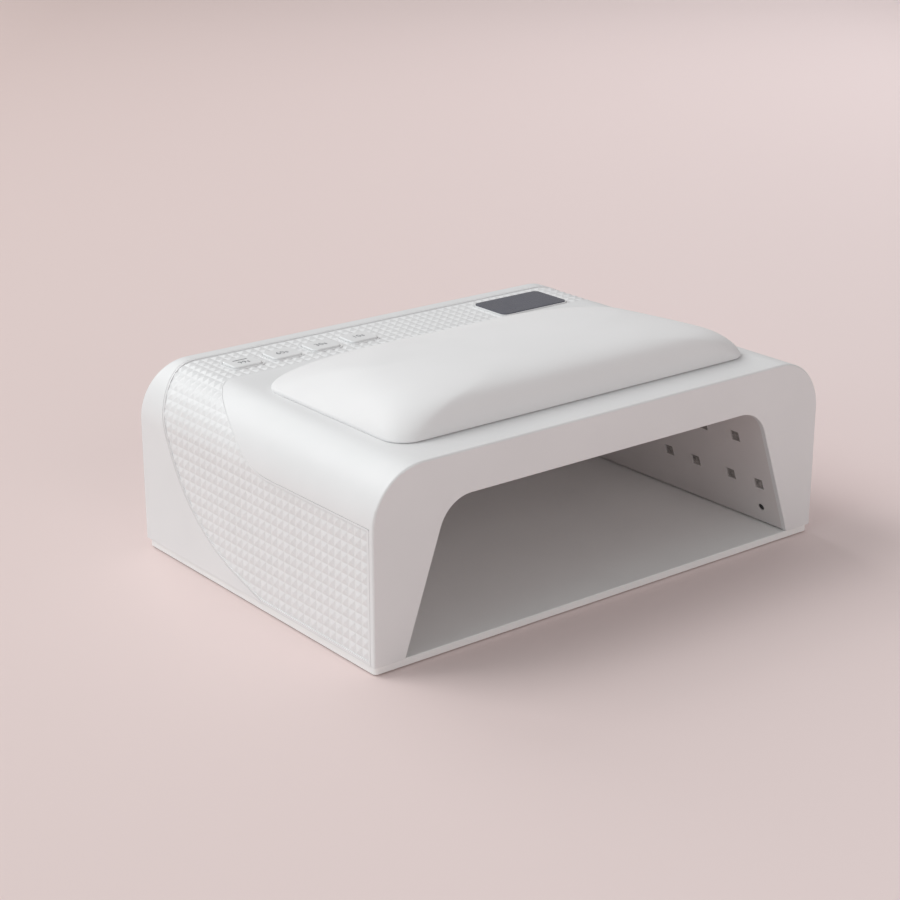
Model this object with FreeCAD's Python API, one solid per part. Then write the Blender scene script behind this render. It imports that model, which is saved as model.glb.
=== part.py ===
import FreeCAD, Part
import math
import os
from FreeCAD import Vector

# Tabletop ultraviolet nail lamp with a padded hand rest on top.
# Millimetres. The origin is on the table under the middle of the lamp, X is to the right seen from
# the open front, Y runs to the back and Z is up.

# Driving dimensions of the casing
WIDTH = 283.0
DEPTH = 198.0
SHELL_TOP = 97.0
SHELL_FOOT = 4.7
CORNER = 28.0
WALL = 2.5
FACE = 2.8
FRONT_EDGE = 1.0
MOUTH_EDGE = 0.5
HALF = WIDTH / 2
FRONT = -DEPTH / 2
BACK = DEPTH / 2
SHELL_INSIDE = SHELL_TOP - WALL
BEYOND = 1.0

# Seams between the three casing mouldings, seen from the side
CAPE_BACK = 54.3
CAPE_SIDE = 70.6
REAR_TOP = 93.0
CAPE_POLES = ((-20.0, CAPE_SIDE), (15.7, CAPE_SIDE), (-5.4, 80.6), (43.5, 93.0), (CAPE_BACK, SHELL_TOP))
REAR_POLES = ((REAR_TOP, SHELL_TOP), (63.2, 71.0), (96.2, 55.8), (27.0, 0.2), (22.0, 18.8), (-12.0, 3.0))
TONGUE_X = (-100.0, -40.0, 30.0)
TONGUE = 18.0
TONGUE_THICK = 1.4
TONGUE_REACH = 4.0
TONGUE_ROOT = (15.0, 9.0)
TONGUE_HEEL = 12.0
BITE = 0.5

# Base plate
PLATE_INSET = 1.0
PLATE_TOP = 4.3
PLATE_UNDER = 0.8
PLATE_SKIN = 2.0
PLATE_RIM = 3.0
PLATE_EDGE = 0.5
PLATE_CORNER = 2.0
PLATE_PAD = 1.5
RIB = 3.0
RIB_X = 46.5
FOOT_X = 118.0
FOOT_Y = 82.0
FOOT_RADIUS = 7.0
FOOT_SINK = 0.6

# Vents in the back wall
VENTS_EACH_WAY = 5
VENT_PITCH = 7.0
VENT_WIDTH = 2.4
VENT_Z = (44.0, 66.0)

# Magnets that hold the lamp to the base plate
MAGNET_X = 132.5
MAGNET_Y = (-70.0, 72.0)
MAGNET_RADIUS = 4.0
MAGNET_HEIGHT = 3.0
MAGNET_FACE = 4.5
KEEPER_RADIUS = 4.5
KEEPER_HEIGHT = 1.2
CUP_WALL = 1.2
CUP_ROOF = 1.0

# Hand tunnel
TUNNEL_HALF = 124.0
TUNNEL_SEAM = 4.5
TUNNEL_TOP = 75.8
TUNNEL_BACK = 80.0
TUNNEL_CORNER = 18.5
LEAN = 0.3455
LEAN_ANGLE = math.atan(LEAN)
LINER = 2.0
LINER_FOOT = 5.0
FLANGE = 2.0
FLANGE_PLAY = 0.3

# Lamp beads: distances back from the middle, and heights on the side walls
LOWER_BEADS = (-85.6, -65.6, -39.7, -19.3, 6.5, 27.0)
LOWER_HEIGHT = 29.0
UPPER_BEADS = (-75.5, -52.0, -29.0, -6.0, 17.0)
UPPER_HEIGHT = 54.4
ROOF_BEADS_X = (-60.0, -20.0, 20.0, 60.0)
ROOF_BEADS_Y = (-60.0, -20.0, 20.0)
BEAD = 5.0
BEAD_HEIGHT = 1.4
LENS_RADIUS = 2.6
LENS_DEEP = 2.2
WINDOW = 6.0
BOARD = 1.2
BOARD_SCREW_Y = (-90.0, 57.0)
BOARD_SCREW_EDGE = 4.0
ROOF_SCREW_X = 74.0
ROOF_SCREW_Y = (-74.0, 40.0)
BLIND = 0.6
SIDE_BOARD = ((-93.0, 62.0), (18.0, 60.0))
ROOF_BOARD = ((-78.0, 78.0), (-78.0, 62.0))
SENSOR_Y = -83.6
SENSOR_HEIGHT = 14.1
SENSOR_RADIUS = 2.0
SENSOR_BODY = (6.0, 4.0)
SENSOR_RECESS = 0.5

# Keys, seen from the left
KEY_X = (-97.3, -73.3, -49.3, -25.3)
KEY_Y = 71.8
KEY_SIZE = (17.4, 14.0)
KEY_RADIUS = 3.0
KEY_TOP = 97.9
KEY_GAP = 0.25
KEY_FLANGE = 1.5
KEY_TRAVEL = 0.5
KEY_EDGE = 0.7
KEY_WALL = 1.6
KEY_STEM = 2.4
KEY_FLANGE_THICK = 1.2
KEY_FLANGE_DROP = 0.3
SWITCH = 6.0
SWITCH_HEIGHT = 3.4
SWITCH_FLOOR = 0.4
PLUNGER_RADIUS = 1.7
PLUNGER_CLEARANCE = 0.08
PLUNGER_HEIGHT = 4.8
PLUNGER_SPARE = 0.2

# Control board and display
CONTROL_X = (-121.0, 121.0)
CONTROL_Y = (56.0, 95.0)
CONTROL_Z = 86.0
CONTROL_THICK = 1.6
CONTROL_TOP = CONTROL_Z + CONTROL_THICK
BOSS_POINTS = ((-116.0, 62.0), (-116.0, 86.5), (20.0, 62.0), (20.0, 86.5), (116.0, 62.0), (116.0, 86.5))
DISPLAY = (83.5, 69.4)
DISPLAY_SIZE = (45.4, 26.7)
DISPLAY_RADIUS = 3.0
DISPLAY_RIM = 0.8
DISPLAY_GAP = 0.15
FRAME_TOP = SHELL_TOP + 0.5
FRAME_FOOT = SHELL_INSIDE - 1.3
FRAME_LIP = 1.5
LEDGE = 1.7
WINDOW_FOOT = 95.3
WINDOW_TOP = SHELL_TOP + 1.0
MODULE_SIZE = (34.0, 18.0)
MODULE_TOP = 94.9

# Larger parts under the control board
CAN_X = (-40.0, -31.0)
CAN_Y = 66.0
CAN_RADIUS = 3.0
CAN_LENGTH = 11.0
COIL = (-10.0, 74.0)
COIL_SIZE = (12.0, 12.0)
COIL_CORNER = 2.5
COIL_HEIGHT = 5.5
DRIVER = ((46.0, 58.0), (68.0, 80.0))
DRIVER_HEIGHT = 2.2
BUZZER = (92.0, 74.0)
BUZZER_RADIUS = 4.5
BUZZER_HEIGHT = 4.5
BUZZER_HOLE = 0.8
BUZZER_HOLE_DEEP = 1.0

# Hand-rest cushion: inset from its foot outline at each share of its height
CUSHION_HALF = 112.0
CUSHION_FRONT = -79.0
CUSHION_BACK = 49.5
CUSHION_FOOT = 97.4
CUSHION_TOP = 114.6
CUSHION_CORNER = 12.0
CUSHION_REAR_CORNER = (50.0, 25.0)
CUSHION_LEVELS = (
    # share of height, side inset, front inset, back inset
    (0.00, 0.5, 0.8, 0.5),
    (0.10, 0.0, 0.0, 0.5),
    (0.32, 1.6, 1.2, 9.0),
    (0.58, 6.5, 4.8, 21.0),
    (0.80, 15.0, 11.0, 37.0),
    (0.94, 29.0, 22.0, 56.0),
    (1.00, 46.0, 34.0, 74.0),
)
COVER = 1.0
COVER_SPREAD = (2.0, 1.0, 6.0)
TRAY_INSET = (3.0, 3.0, 16.0)
TRAY = 2.0
TRAY_BOSS = 3.5
TRAY_BOSS_TOP = 103.0
CUSHION_SCREWS = ((-78.0, -52.0), (78.0, -52.0), (-78.0, 14.0), (78.0, 14.0))

# Power socket in the back wall, for a 5.5 mm plug
SOCKET_X = 60.0
SOCKET_Z = 24.0
SOCKET_RADIUS = 3.15
SOCKET_DEPTH = 9.5
SOCKET_PIN = 1.0
SOCKET_PIN_SHORT = 0.6
SOCKET_BODY = (9.0, 13.0, 11.0)
SOCKET_NOSE = 4.6
SOCKET_MOUTH = BACK - 0.3
SOCKET_PLAY = 0.1
LEAD = 0.8
LEAD_SPREAD = 2.2
LEAD_BACK = 7.0
LEAD_JOG = 8.0
LEAD_JOG_Z = (40.0, 60.0)
LEAD_BEND = 12.0
BEAD_LEAD_BEND = 4.0
BEAD_LEAD_START = (44.0, 50.0)
BEAD_LEAD_OUT = 8.0
BEAD_LEAD_TURN = (66.0, 78.0)
BEAD_LEAD_END = 74.0
ROOF_LEAD = (-40.0, 58.5)

# Screws
SCREW = 1.5
SCREW_HEAD = 2.8
SCREW_HEAD_HEIGHT = 2.0
HEAD_PLAY = 0.3
SCREW_FREE = 1.7
BOSS = 3.5
BOSS_TOP = 18.0
PAD = 4.2
PAD_TOP = 9.0
SCREW_SEAT = 7.2
SIDE_BOSS_X = 132.5
FRONT_BOSS_Y = -90.5
MIDDLE_BOSS_Y = -30.0
REAR_BOSS_Y = 45.0
BACK_BOSS = (75.0, 91.5)
SMALL_SCREW = 1.0
SMALL_HEAD = 2.2
SMALL_HEAD_HEIGHT = 1.4
LINER_SCREW_LENGTH = 9.0
BOARD_SCREW_LENGTH = 7.0


def box(x, y, z):
    """Box between the low and high value of each pair."""
    return Part.makeBox(x[1] - x[0], y[1] - y[0], z[1] - z[0], Vector(x[0], y[0], z[0]))


def post(point, radius, z):
    """Upright cylinder on a point of the XY plane, between two heights."""
    return Part.makeCylinder(radius, z[1] - z[0], Vector(point[0], point[1], z[0]))


def rounded_slab(centre, size, radius, z):
    """Upright block with round vertical corners."""
    x = (centre[0] - size[0] / 2, centre[0] + size[0] / 2)
    y = (centre[1] - size[1] / 2, centre[1] + size[1] / 2)
    block = box(x, y, z)
    upright = [edge for edge in block.Edges if abs(edge.tangentAt(0).z) > 0.9]
    return block.makeFillet(radius, upright)


def screw(seat, direction, radius, head_radius, head_height, length):
    """Pan-head screw: its head stands on the seat and its shank runs along the direction."""
    seat = Vector(*seat)
    direction = Vector(*direction)
    shank = Part.makeCylinder(radius, length, seat, direction)
    head = Part.makeCylinder(head_radius, head_height, seat, direction.negative())
    drive = Part.makeCylinder(radius, head_height, seat - direction * (head_height * 1.6), direction)
    return shank.fuse(head).removeSplitter().cut(drive)


def both_sides(solids):
    """The solids and their mirror images on the left."""
    return solids + [solid.mirror(Vector(0, 0, 0), Vector(1, 0, 0)) for solid in solids]


def joined(solids):
    """One solid from solids that overlap or share faces."""
    return solids[0].fuse(solids[1:]).removeSplitter()


def arch(half, top, foot, radius, y):
    """Block whose section is a flat-topped arch with round upper corners."""
    bend = radius * (1 - math.sqrt(0.5))

    def at(x, z):
        return Vector(x, y[0], z)

    edges = [
        Part.LineSegment(at(-half, foot), at(-half, top - radius)).toShape(),
        Part.Arc(at(-half, top - radius), at(-half + bend, top - bend), at(-half + radius, top)).toShape(),
        Part.LineSegment(at(-half + radius, top), at(half - radius, top)).toShape(),
        Part.Arc(at(half - radius, top), at(half - bend, top - bend), at(half, top - radius)).toShape(),
        Part.LineSegment(at(half, top - radius), at(half, foot)).toShape(),
        Part.LineSegment(at(half, foot), at(-half, foot)).toShape(),
    ]
    return Part.Face(Part.Wire(edges)).extrude(Vector(0, y[1] - y[0], 0))


def tunnel(grow, y, foot):
    """Block that fills the hand tunnel, grown outwards, with leaning sides and round upper corners."""
    spread = grow / math.cos(LEAN_ANGLE)
    top = TUNNEL_TOP + grow

    def half(z):
        return TUNNEL_HALF + spread - LEAN * (z - TUNNEL_SEAM)

    outline = [(-half(foot), foot), (-half(top), top), (half(top), top), (half(foot), foot)]
    corners = [Vector(x, y[0], z) for x, z in outline]
    block = Part.Face(Part.makePolygon(corners + corners[:1])).extrude(Vector(0, y[1] - y[0], 0))
    ridges = []
    for edge in block.Edges:
        middle = edge.CenterOfMass
        if abs(edge.tangentAt(0).y) > 0.9 and middle.z > foot + BEYOND:
            ridges.append(edge)
    return block.makeFillet(TUNNEL_CORNER + grow, ridges)


def on_wall(solid):
    """Carry a solid to the right tunnel wall: its X runs back, its Y up the slope, its Z outwards."""
    c = math.cos(LEAN_ANGLE)
    s = math.sin(LEAN_ANGLE)
    frame = FreeCAD.Matrix(0, -s, c, TUNNEL_HALF, 1, 0, 0, 0, 0, c, s, TUNNEL_SEAM, 0, 0, 0, 1)
    moved = solid.copy()
    moved.Placement = FreeCAD.Placement(frame).multiply(solid.Placement)
    return moved


def up_slope(height):
    """Distance up the leaning wall at a height above the table."""
    return (height - TUNNEL_SEAM) / math.cos(LEAN_ANGLE)


def side_region(points, poles):
    """Block as wide as the lamp over a side outline: corner points, then a Bezier curve that closes it."""
    sweep = Part.BezierCurve()
    sweep.setPoles([Vector(-HALF - BEYOND, y, z) for y, z in poles])
    corners = [Vector(-HALF - BEYOND, y, z) for y, z in (poles[-1], *points, poles[0])]
    edges = [sweep.toShape()]
    for start, end in zip(corners, corners[1:]):
        edges.append(Part.LineSegment(start, end).toShape())
    return Part.Face(Part.Wire(edges)).extrude(Vector(WIDTH + 2 * BEYOND, 0, 0))


def cape_region():
    """Everything that belongs to the front moulding: the face, and the cape over the top."""
    over = SHELL_TOP + 2 * BEYOND
    points = (
        (CAPE_BACK, over),
        (FRONT - BEYOND, over),
        (FRONT - BEYOND, 0.0),
        (FRONT + FACE, 0.0),
        (FRONT + FACE, CAPE_SIDE),
    )
    return side_region(points, CAPE_POLES)


def rear_region():
    """Everything that belongs to the rear moulding: the back, and the lower rear sides."""
    points = (
        (BACK + BEYOND, 3.0),
        (BACK + BEYOND, SHELL_TOP + BEYOND),
        (REAR_TOP, SHELL_TOP + BEYOND),
    )
    return side_region(points, REAR_POLES)


def front_edges(solid, inside=0.0):
    """Edges of the front face, leaving out the foot and any edge near the outer outline by the inset."""
    edges = []
    for edge in solid.Edges:
        flat = max(vertex.Y for vertex in edge.Vertexes) < FRONT + 0.1
        middle = edge.CenterOfMass
        held = middle.z > SHELL_FOOT + BEYOND and middle.z < SHELL_TOP + 0.1 - inside
        if flat and held and abs(middle.x) < HALF + 0.1 - inside:
            edges.append(edge)
    return edges


def casing():
    """The whole arch-shaped casing before it is divided at its seams."""
    outer = arch(HALF, SHELL_TOP, SHELL_FOOT, CORNER, (FRONT, BACK))
    outer = outer.makeFillet(FRONT_EDGE, front_edges(outer))
    hollow = arch(HALF - WALL, SHELL_INSIDE, SHELL_FOOT - BEYOND, CORNER - WALL,
                  (FRONT + FACE, BACK - WALL))
    mouth = tunnel(0, (FRONT - BEYOND, FRONT + FACE + BEYOND), SHELL_FOOT - BEYOND)
    shell = outer.cut([hollow, mouth])
    return shell.makeFillet(MOUTH_EDGE, front_edges(shell, FRONT_EDGE + 5))


def flange_boss(x, y, web):
    """Screw boss that stands on a pad of the liner flange, tied to the casing by a web."""
    z = (PAD_TOP, BOSS_TOP)
    return joined([post((x, y), BOSS, z), web]).cut(post((x, y), SCREW, (z[0] - BEYOND, z[1] - BEYOND)))


def side_web(y):
    """Web from a side boss out to the casing wall."""
    return box((SIDE_BOSS_X, HALF - WALL), (y - 1, y + 1), (PAD_TOP, BOSS_TOP))


def front_shell():
    """Front face with the tunnel mouth, and the smooth cape that carries the cushion."""
    shell = casing().common(cape_region())
    web = box((SIDE_BOSS_X - 1, SIDE_BOSS_X + 1), (FRONT + FACE, FRONT_BOSS_Y),
              (PAD_TOP, BOSS_TOP))
    bosses = both_sides([flange_boss(SIDE_BOSS_X, FRONT_BOSS_Y, web)])
    tongues = []
    for x in TONGUE_X:
        across = (x - TONGUE / 2, x + TONGUE / 2)
        low = SHELL_INSIDE - TONGUE_THICK
        root = (CAPE_BACK - TONGUE_ROOT[0], CAPE_BACK - TONGUE_ROOT[1])
        tongues.append(box(across, root, (low, SHELL_INSIDE + BITE)))
        tongues.append(box(across, (CAPE_BACK - TONGUE_HEEL, CAPE_BACK + TONGUE_REACH), (low, SHELL_INSIDE)))
    shell = joined([shell, *bosses, *tongues])
    through = (TUNNEL_TOP, SHELL_TOP + BEYOND)
    return [shell.cut([post(point, SCREW_FREE, through) for point in CUSHION_SCREWS])]


def middle_shell():
    """Band around the sides and over the rear of the top, with the key and display holes."""
    band = casing().cut([cape_region(), rear_region()])
    bosses = both_sides([flange_boss(SIDE_BOSS_X, MIDDLE_BOSS_Y, side_web(MIDDLE_BOSS_Y))])
    for point in BOSS_POINTS:
        drop = post(point, BOSS, (CONTROL_TOP, SHELL_INSIDE + BITE))
        bosses.append(drop.cut(post(point, SCREW, (CONTROL_TOP - BEYOND, SHELL_INSIDE - BEYOND))))
    through = (SHELL_INSIDE - BEYOND, SHELL_TOP + BEYOND)
    holes = []
    for x in KEY_X:
        size = [side + 2 * KEY_GAP for side in KEY_SIZE]
        holes.append(rounded_slab((x, KEY_Y), size, KEY_RADIUS + KEY_GAP, through))
    size = [side + 2 * (DISPLAY_RIM + DISPLAY_GAP) for side in DISPLAY_SIZE]
    holes.append(rounded_slab(DISPLAY, size, DISPLAY_RADIUS + DISPLAY_RIM, through))
    return [joined([band, *bosses]).cut(holes)]


def rear_shell():
    """Back wall with its vents and socket hole, and the swept lower rear sides."""
    shell = casing().common(rear_region())
    bosses = both_sides([flange_boss(SIDE_BOSS_X, REAR_BOSS_Y, side_web(REAR_BOSS_Y))])
    back_web = box((BACK_BOSS[0] - 1, BACK_BOSS[0] + 1), (BACK_BOSS[1], BACK - WALL),
                   (PAD_TOP, BOSS_TOP))
    bosses += both_sides([flange_boss(*BACK_BOSS, back_web)])
    wall = (BACK - WALL - BEYOND, BACK + BEYOND)
    vents = []
    for step in range(-VENTS_EACH_WAY, VENTS_EACH_WAY + 1):
        x = step * VENT_PITCH
        vents.append(box((x - VENT_WIDTH / 2, x + VENT_WIDTH / 2), wall, VENT_Z))
    socket_hole = along_socket(SOCKET_NOSE + SOCKET_PLAY, *wall)
    return [joined([shell, *bosses]).cut([*vents, socket_hole])]


def screw_points():
    """Places of the screws that hold the liner flange to the casing mouldings."""
    points = []
    for side in (1, -1):
        for x, y in ((SIDE_BOSS_X, FRONT_BOSS_Y), (SIDE_BOSS_X, MIDDLE_BOSS_Y), (SIDE_BOSS_X, REAR_BOSS_Y),
                     BACK_BOSS):
            points.append((side * x, y))
    return points


def magnet_points():
    """Places of the four magnets."""
    return [(side * MAGNET_X, y) for side in (1, -1) for y in MAGNET_Y]


def bead_places():
    """Places of the side beads in wall axes: distance back, and distance up the slope."""
    lower = [(y, up_slope(LOWER_HEIGHT)) for y in LOWER_BEADS]
    return lower + [(y, up_slope(UPPER_HEIGHT)) for y in UPPER_BEADS]


def wall_screw_places():
    """Places of the side-board screws in wall axes."""
    low, high = SIDE_BOARD[1]
    return [(y, up) for y in BOARD_SCREW_Y for up in (low + BOARD_SCREW_EDGE, high - BOARD_SCREW_EDGE)]


def roof_bead_places():
    """Places of the beads in the tunnel roof."""
    return [(x, y) for x in ROOF_BEADS_X for y in ROOF_BEADS_Y]


def roof_screw_places():
    """Places of the roof-board screws."""
    return [(x, y) for x in (-ROOF_SCREW_X, ROOF_SCREW_X) for y in ROOF_SCREW_Y]


def square(centre, side, z):
    """Square block on a centre, between two heights."""
    half = side / 2
    return box((centre[0] - half, centre[0] + half), (centre[1] - half, centre[1] + half), z)


def reflector_liner():
    """Tunnel lining with bead windows, closed at the back, on a flange that shuts the lamp from below."""
    tube = tunnel(LINER, (FRONT + FACE, TUNNEL_BACK + LINER), LINER_FOOT)
    reach = HALF - WALL - FLANGE_PLAY
    flange = box((-reach, reach), (FRONT + FACE, BACK - WALL - FLANGE_PLAY),
                 (LINER_FOOT, LINER_FOOT + FLANGE))
    cups = [post(point, MAGNET_RADIUS + CUP_WALL, (LINER_FOOT, MAGNET_FACE + MAGNET_HEIGHT + CUP_ROOF))
            for point in magnet_points()]
    pads = [post(point, PAD, (LINER_FOOT, PAD_TOP)) for point in screw_points()]
    body = joined([tube, flange, *cups, *pads]).cut(tunnel(0, (FRONT, TUNNEL_BACK), LINER_FOOT - BEYOND))
    through = (-BEYOND, LINER + BEYOND)
    cuts = [on_wall(square(place, WINDOW, through)) for place in bead_places()]
    cuts += [on_wall(post(place, SMALL_SCREW, (BLIND, LINER + BEYOND))) for place in wall_screw_places()]
    cuts.append(on_wall(post((SENSOR_Y, up_slope(SENSOR_HEIGHT)), SENSOR_RADIUS, through)))
    cuts = both_sides(cuts)
    roof = (TUNNEL_TOP - BEYOND, TUNNEL_TOP + LINER + BEYOND)
    cuts += [square(place, WINDOW, roof) for place in roof_bead_places()]
    cuts += [post(place, SMALL_SCREW, (TUNNEL_TOP + BLIND, roof[1])) for place in roof_screw_places()]
    cuts += [post(point, MAGNET_RADIUS, (0, MAGNET_FACE + MAGNET_HEIGHT)) for point in magnet_points()]
    cuts += [post(point, SCREW_FREE, (0, PAD_TOP + BEYOND)) for point in screw_points()]
    cuts += [post(point, SCREW_HEAD + HEAD_PLAY, (0, SCREW_SEAT)) for point in screw_points()]
    return [body.cut(cuts)]


def base_plate():
    """Thin plate under the lamp: a skin with a rim, solid pads for the feet and pockets for the keepers."""
    size = (WIDTH - 2 * PLATE_INSET, DEPTH - 2 * PLATE_INSET)
    plate = rounded_slab((0, 0), size, PLATE_CORNER, (PLATE_UNDER, PLATE_TOP))
    top = [edge for edge in plate.Edges if min(vertex.Z for vertex in edge.Vertexes) > PLATE_TOP - 0.1]
    plate = plate.makeFillet(PLATE_EDGE, top)
    whole = plate.copy()
    inner = [side / 2 - PLATE_RIM for side in size]
    under = (PLATE_UNDER - BEYOND, PLATE_TOP - PLATE_SKIN)
    near, far = RIB_X - RIB / 2, RIB_X + RIB / 2
    hollows = []
    for x in ((-inner[0], -far), (-near, near), (far, inner[0])):
        for y in ((-inner[1], -RIB / 2), (RIB / 2, inner[1])):
            hollows.append(box(x, y, under))
    plate = plate.cut(hollows)
    pads = []
    for point in foot_points() + magnet_points():
        pads.append(post(point, FOOT_RADIUS + PLATE_PAD, (PLATE_UNDER, PLATE_TOP)))
    plate = joined([plate, *[pad.common(whole) for pad in pads]])
    pockets = [post(point, FOOT_RADIUS, (0, PLATE_UNDER + FOOT_SINK)) for point in foot_points()]
    for point in magnet_points():
        pockets.append(post(point, KEEPER_RADIUS, (MAGNET_FACE - KEEPER_HEIGHT, PLATE_TOP + BEYOND)))
    return [plate.cut(pockets)]


def foot_points():
    """Places of the rubber feet."""
    return [(x, y) for x in (-FOOT_X, FOOT_X) for y in (-FOOT_Y, FOOT_Y)]


def base_feet():
    """Rubber pads in their pockets under the base plate."""
    return [post(point, FOOT_RADIUS, (0, PLATE_UNDER + FOOT_SINK)) for point in foot_points()]


def steel_keepers():
    """Steel discs in the base plate that the magnets hold."""
    z = (MAGNET_FACE - KEEPER_HEIGHT, MAGNET_FACE)
    return [post(point, KEEPER_RADIUS, z) for point in magnet_points()]


def magnets():
    """Disc magnets in the cups of the liner flange."""
    z = (MAGNET_FACE, MAGNET_FACE + MAGNET_HEIGHT)
    return [post(point, MAGNET_RADIUS, z) for point in magnet_points()]


def side_board():
    """Bead board on the outside of the right tunnel wall."""
    board = on_wall(box(*SIDE_BOARD, (LINER, LINER + BOARD)))
    through = (0, LINER + BOARD + BEYOND)
    return board.cut([on_wall(post(place, SMALL_SCREW, through)) for place in wall_screw_places()])


def roof_board():
    """Bead board on top of the tunnel roof."""
    z = (TUNNEL_TOP + LINER, TUNNEL_TOP + LINER + BOARD)
    through = (z[0] - BEYOND, z[1] + BEYOND)
    return [box(*ROOF_BOARD, z).cut([post(place, SMALL_SCREW, through) for place in roof_screw_places()])]


def bead(centre, outside):
    """Lamp bead under its board: a square package with a shallow round lens facing the tunnel."""
    face = outside - BEAD_HEIGHT
    package = square(centre, BEAD, (face, outside))
    lens = Part.makeSphere(LENS_RADIUS, Vector(centre[0], centre[1], face + LENS_DEEP))
    cap = lens.common(square(centre, BEAD, (face - BEYOND, face + 0.1)))
    return package.fuse(cap).removeSplitter()


def side_beads():
    """Beads in the windows of the right tunnel wall."""
    return [on_wall(bead(place, LINER)) for place in bead_places()]


def roof_beads():
    """Beads in the windows of the tunnel roof."""
    return [bead(place, TUNNEL_TOP + LINER) for place in roof_bead_places()]


def sensor():
    """Hand sensor behind the round hole near the mouth of the right tunnel wall."""
    place = (SENSOR_Y, up_slope(SENSOR_HEIGHT))
    side, deep = SENSOR_BODY
    nose = on_wall(post(place, SENSOR_RADIUS - 0.1, (SENSOR_RECESS, LINER)))
    return nose.fuse(on_wall(square(place, side, (LINER, LINER + deep)))).removeSplitter()


def board_screws():
    """Small screws that hold the three bead boards to the liner."""
    seat = LINER + BOARD
    size = (SMALL_SCREW, SMALL_HEAD, SMALL_HEAD_HEIGHT, seat - BLIND)
    side = [on_wall(screw((*place, seat), (0, 0, -1), *size)) for place in wall_screw_places()]
    roof = [screw((*place, TUNNEL_TOP + seat), (0, 0, -1), *size) for place in roof_screw_places()]
    return both_sides(side) + roof


def control_board():
    """Board that carries the switches and the display, hung under the top of the band."""
    board = box(CONTROL_X, CONTROL_Y, (CONTROL_Z, CONTROL_TOP))
    through = (CONTROL_Z - BEYOND, CONTROL_TOP + BEYOND)
    return [board.cut([post(point, SCREW_FREE, through) for point in BOSS_POINTS])]


def control_board_screws():
    """Screws up through the control board into the bosses of the band."""
    return [screw((*point, CONTROL_Z), (0, 0, 1), SCREW, SCREW_HEAD, SCREW_HEAD_HEIGHT, BOARD_SCREW_LENGTH)
            for point in BOSS_POINTS]


def board_parts():
    """Capacitors, coil and driver block under the control board."""
    low = CONTROL_Z - CAN_RADIUS
    cans = [Part.makeCylinder(CAN_RADIUS, CAN_LENGTH, Vector(x, CAN_Y, low), Vector(0, 1, 0)) for x in CAN_X]
    coil = rounded_slab(COIL, COIL_SIZE, COIL_CORNER, (CONTROL_Z - COIL_HEIGHT, CONTROL_Z))
    driver = box(*DRIVER, (CONTROL_Z - DRIVER_HEIGHT, CONTROL_Z))
    return [*cans, coil, driver]


def buzzer():
    """Round buzzer under the control board."""
    face = CONTROL_Z - BUZZER_HEIGHT
    can = post(BUZZER, BUZZER_RADIUS, (face, CONTROL_Z))
    return [can.cut(post(BUZZER, BUZZER_HOLE, (face - BEYOND, face + BUZZER_HOLE_DEEP)))]


def switch_bodies():
    """Push-switch housings on the control board, each with a bore for its plunger."""
    bodies = []
    for x in KEY_X:
        body = square((x, KEY_Y), SWITCH, (CONTROL_TOP, CONTROL_TOP + SWITCH_HEIGHT))
        bodies.append(body.cut(post((x, KEY_Y), PLUNGER_RADIUS + PLUNGER_CLEARANCE,
                                    (CONTROL_TOP + SWITCH_FLOOR, CONTROL_TOP + SWITCH_HEIGHT + BEYOND))))
    return bodies


def plunger(x):
    """Plunger that stands in its switch and carries the key stem."""
    foot = CONTROL_TOP + SWITCH_FLOOR + KEY_TRAVEL + PLUNGER_SPARE
    return [post((x, KEY_Y), PLUNGER_RADIUS, (foot, CONTROL_TOP + PLUNGER_HEIGHT))]


def key(x):
    """Key cap: a hollow rounded cap above the casing, a flange that stops it, and a stem below."""
    flange_top = SHELL_INSIDE - KEY_FLANGE_DROP
    foot = flange_top - KEY_FLANGE_THICK
    flange_size = [side + 2 * KEY_FLANGE for side in KEY_SIZE]
    cap = rounded_slab((x, KEY_Y), KEY_SIZE, KEY_RADIUS, (foot, KEY_TOP))
    rim = [edge for edge in cap.Edges if min(vertex.Z for vertex in edge.Vertexes) > KEY_TOP - 0.1]
    cap = cap.makeFillet(KEY_EDGE, rim)
    flange = rounded_slab((x, KEY_Y), flange_size, KEY_RADIUS + KEY_FLANGE, (foot, flange_top))
    pocket_size = [side - 2 * KEY_WALL for side in KEY_SIZE]
    pocket = rounded_slab((x, KEY_Y), pocket_size, KEY_WALL, (foot - BEYOND, KEY_TOP - KEY_WALL))
    stem = post((x, KEY_Y), KEY_STEM, (CONTROL_TOP + PLUNGER_HEIGHT, KEY_TOP - KEY_WALL / 2))
    return [joined([cap, flange]).cut(pocket).fuse(stem).removeSplitter()]


def display_frame():
    """Thin frame around the display window, with a ledge for the window and a flange under the casing."""
    outer = [side + 2 * DISPLAY_RIM for side in DISPLAY_SIZE]
    flange = [side + 2 * FRAME_LIP for side in outer]
    ledge = [side - 2 * LEDGE for side in DISPLAY_SIZE]
    body = rounded_slab(DISPLAY, outer, DISPLAY_RADIUS + DISPLAY_RIM, (FRAME_FOOT, FRAME_TOP))
    rim = rounded_slab(DISPLAY, flange, DISPLAY_RADIUS + FRAME_LIP, (FRAME_FOOT, SHELL_INSIDE))
    window = rounded_slab(DISPLAY, DISPLAY_SIZE, DISPLAY_RADIUS, (WINDOW_FOOT, FRAME_TOP + BEYOND))
    sight = rounded_slab(DISPLAY, ledge, DISPLAY_RADIUS - LEDGE / 2, (FRAME_FOOT - BEYOND, FRAME_TOP))
    return [joined([body, rim]).cut([window, sight])]


def display_window():
    """Smoked window over the display."""
    return [rounded_slab(DISPLAY, DISPLAY_SIZE, DISPLAY_RADIUS, (WINDOW_FOOT, WINDOW_TOP))]


def display_module():
    """Digit block under the window, standing on the control board."""
    x, y = [(centre - side / 2, centre + side / 2) for centre, side in zip(DISPLAY, MODULE_SIZE)]
    return [box(x, y, (CONTROL_TOP, MODULE_TOP))]


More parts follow.
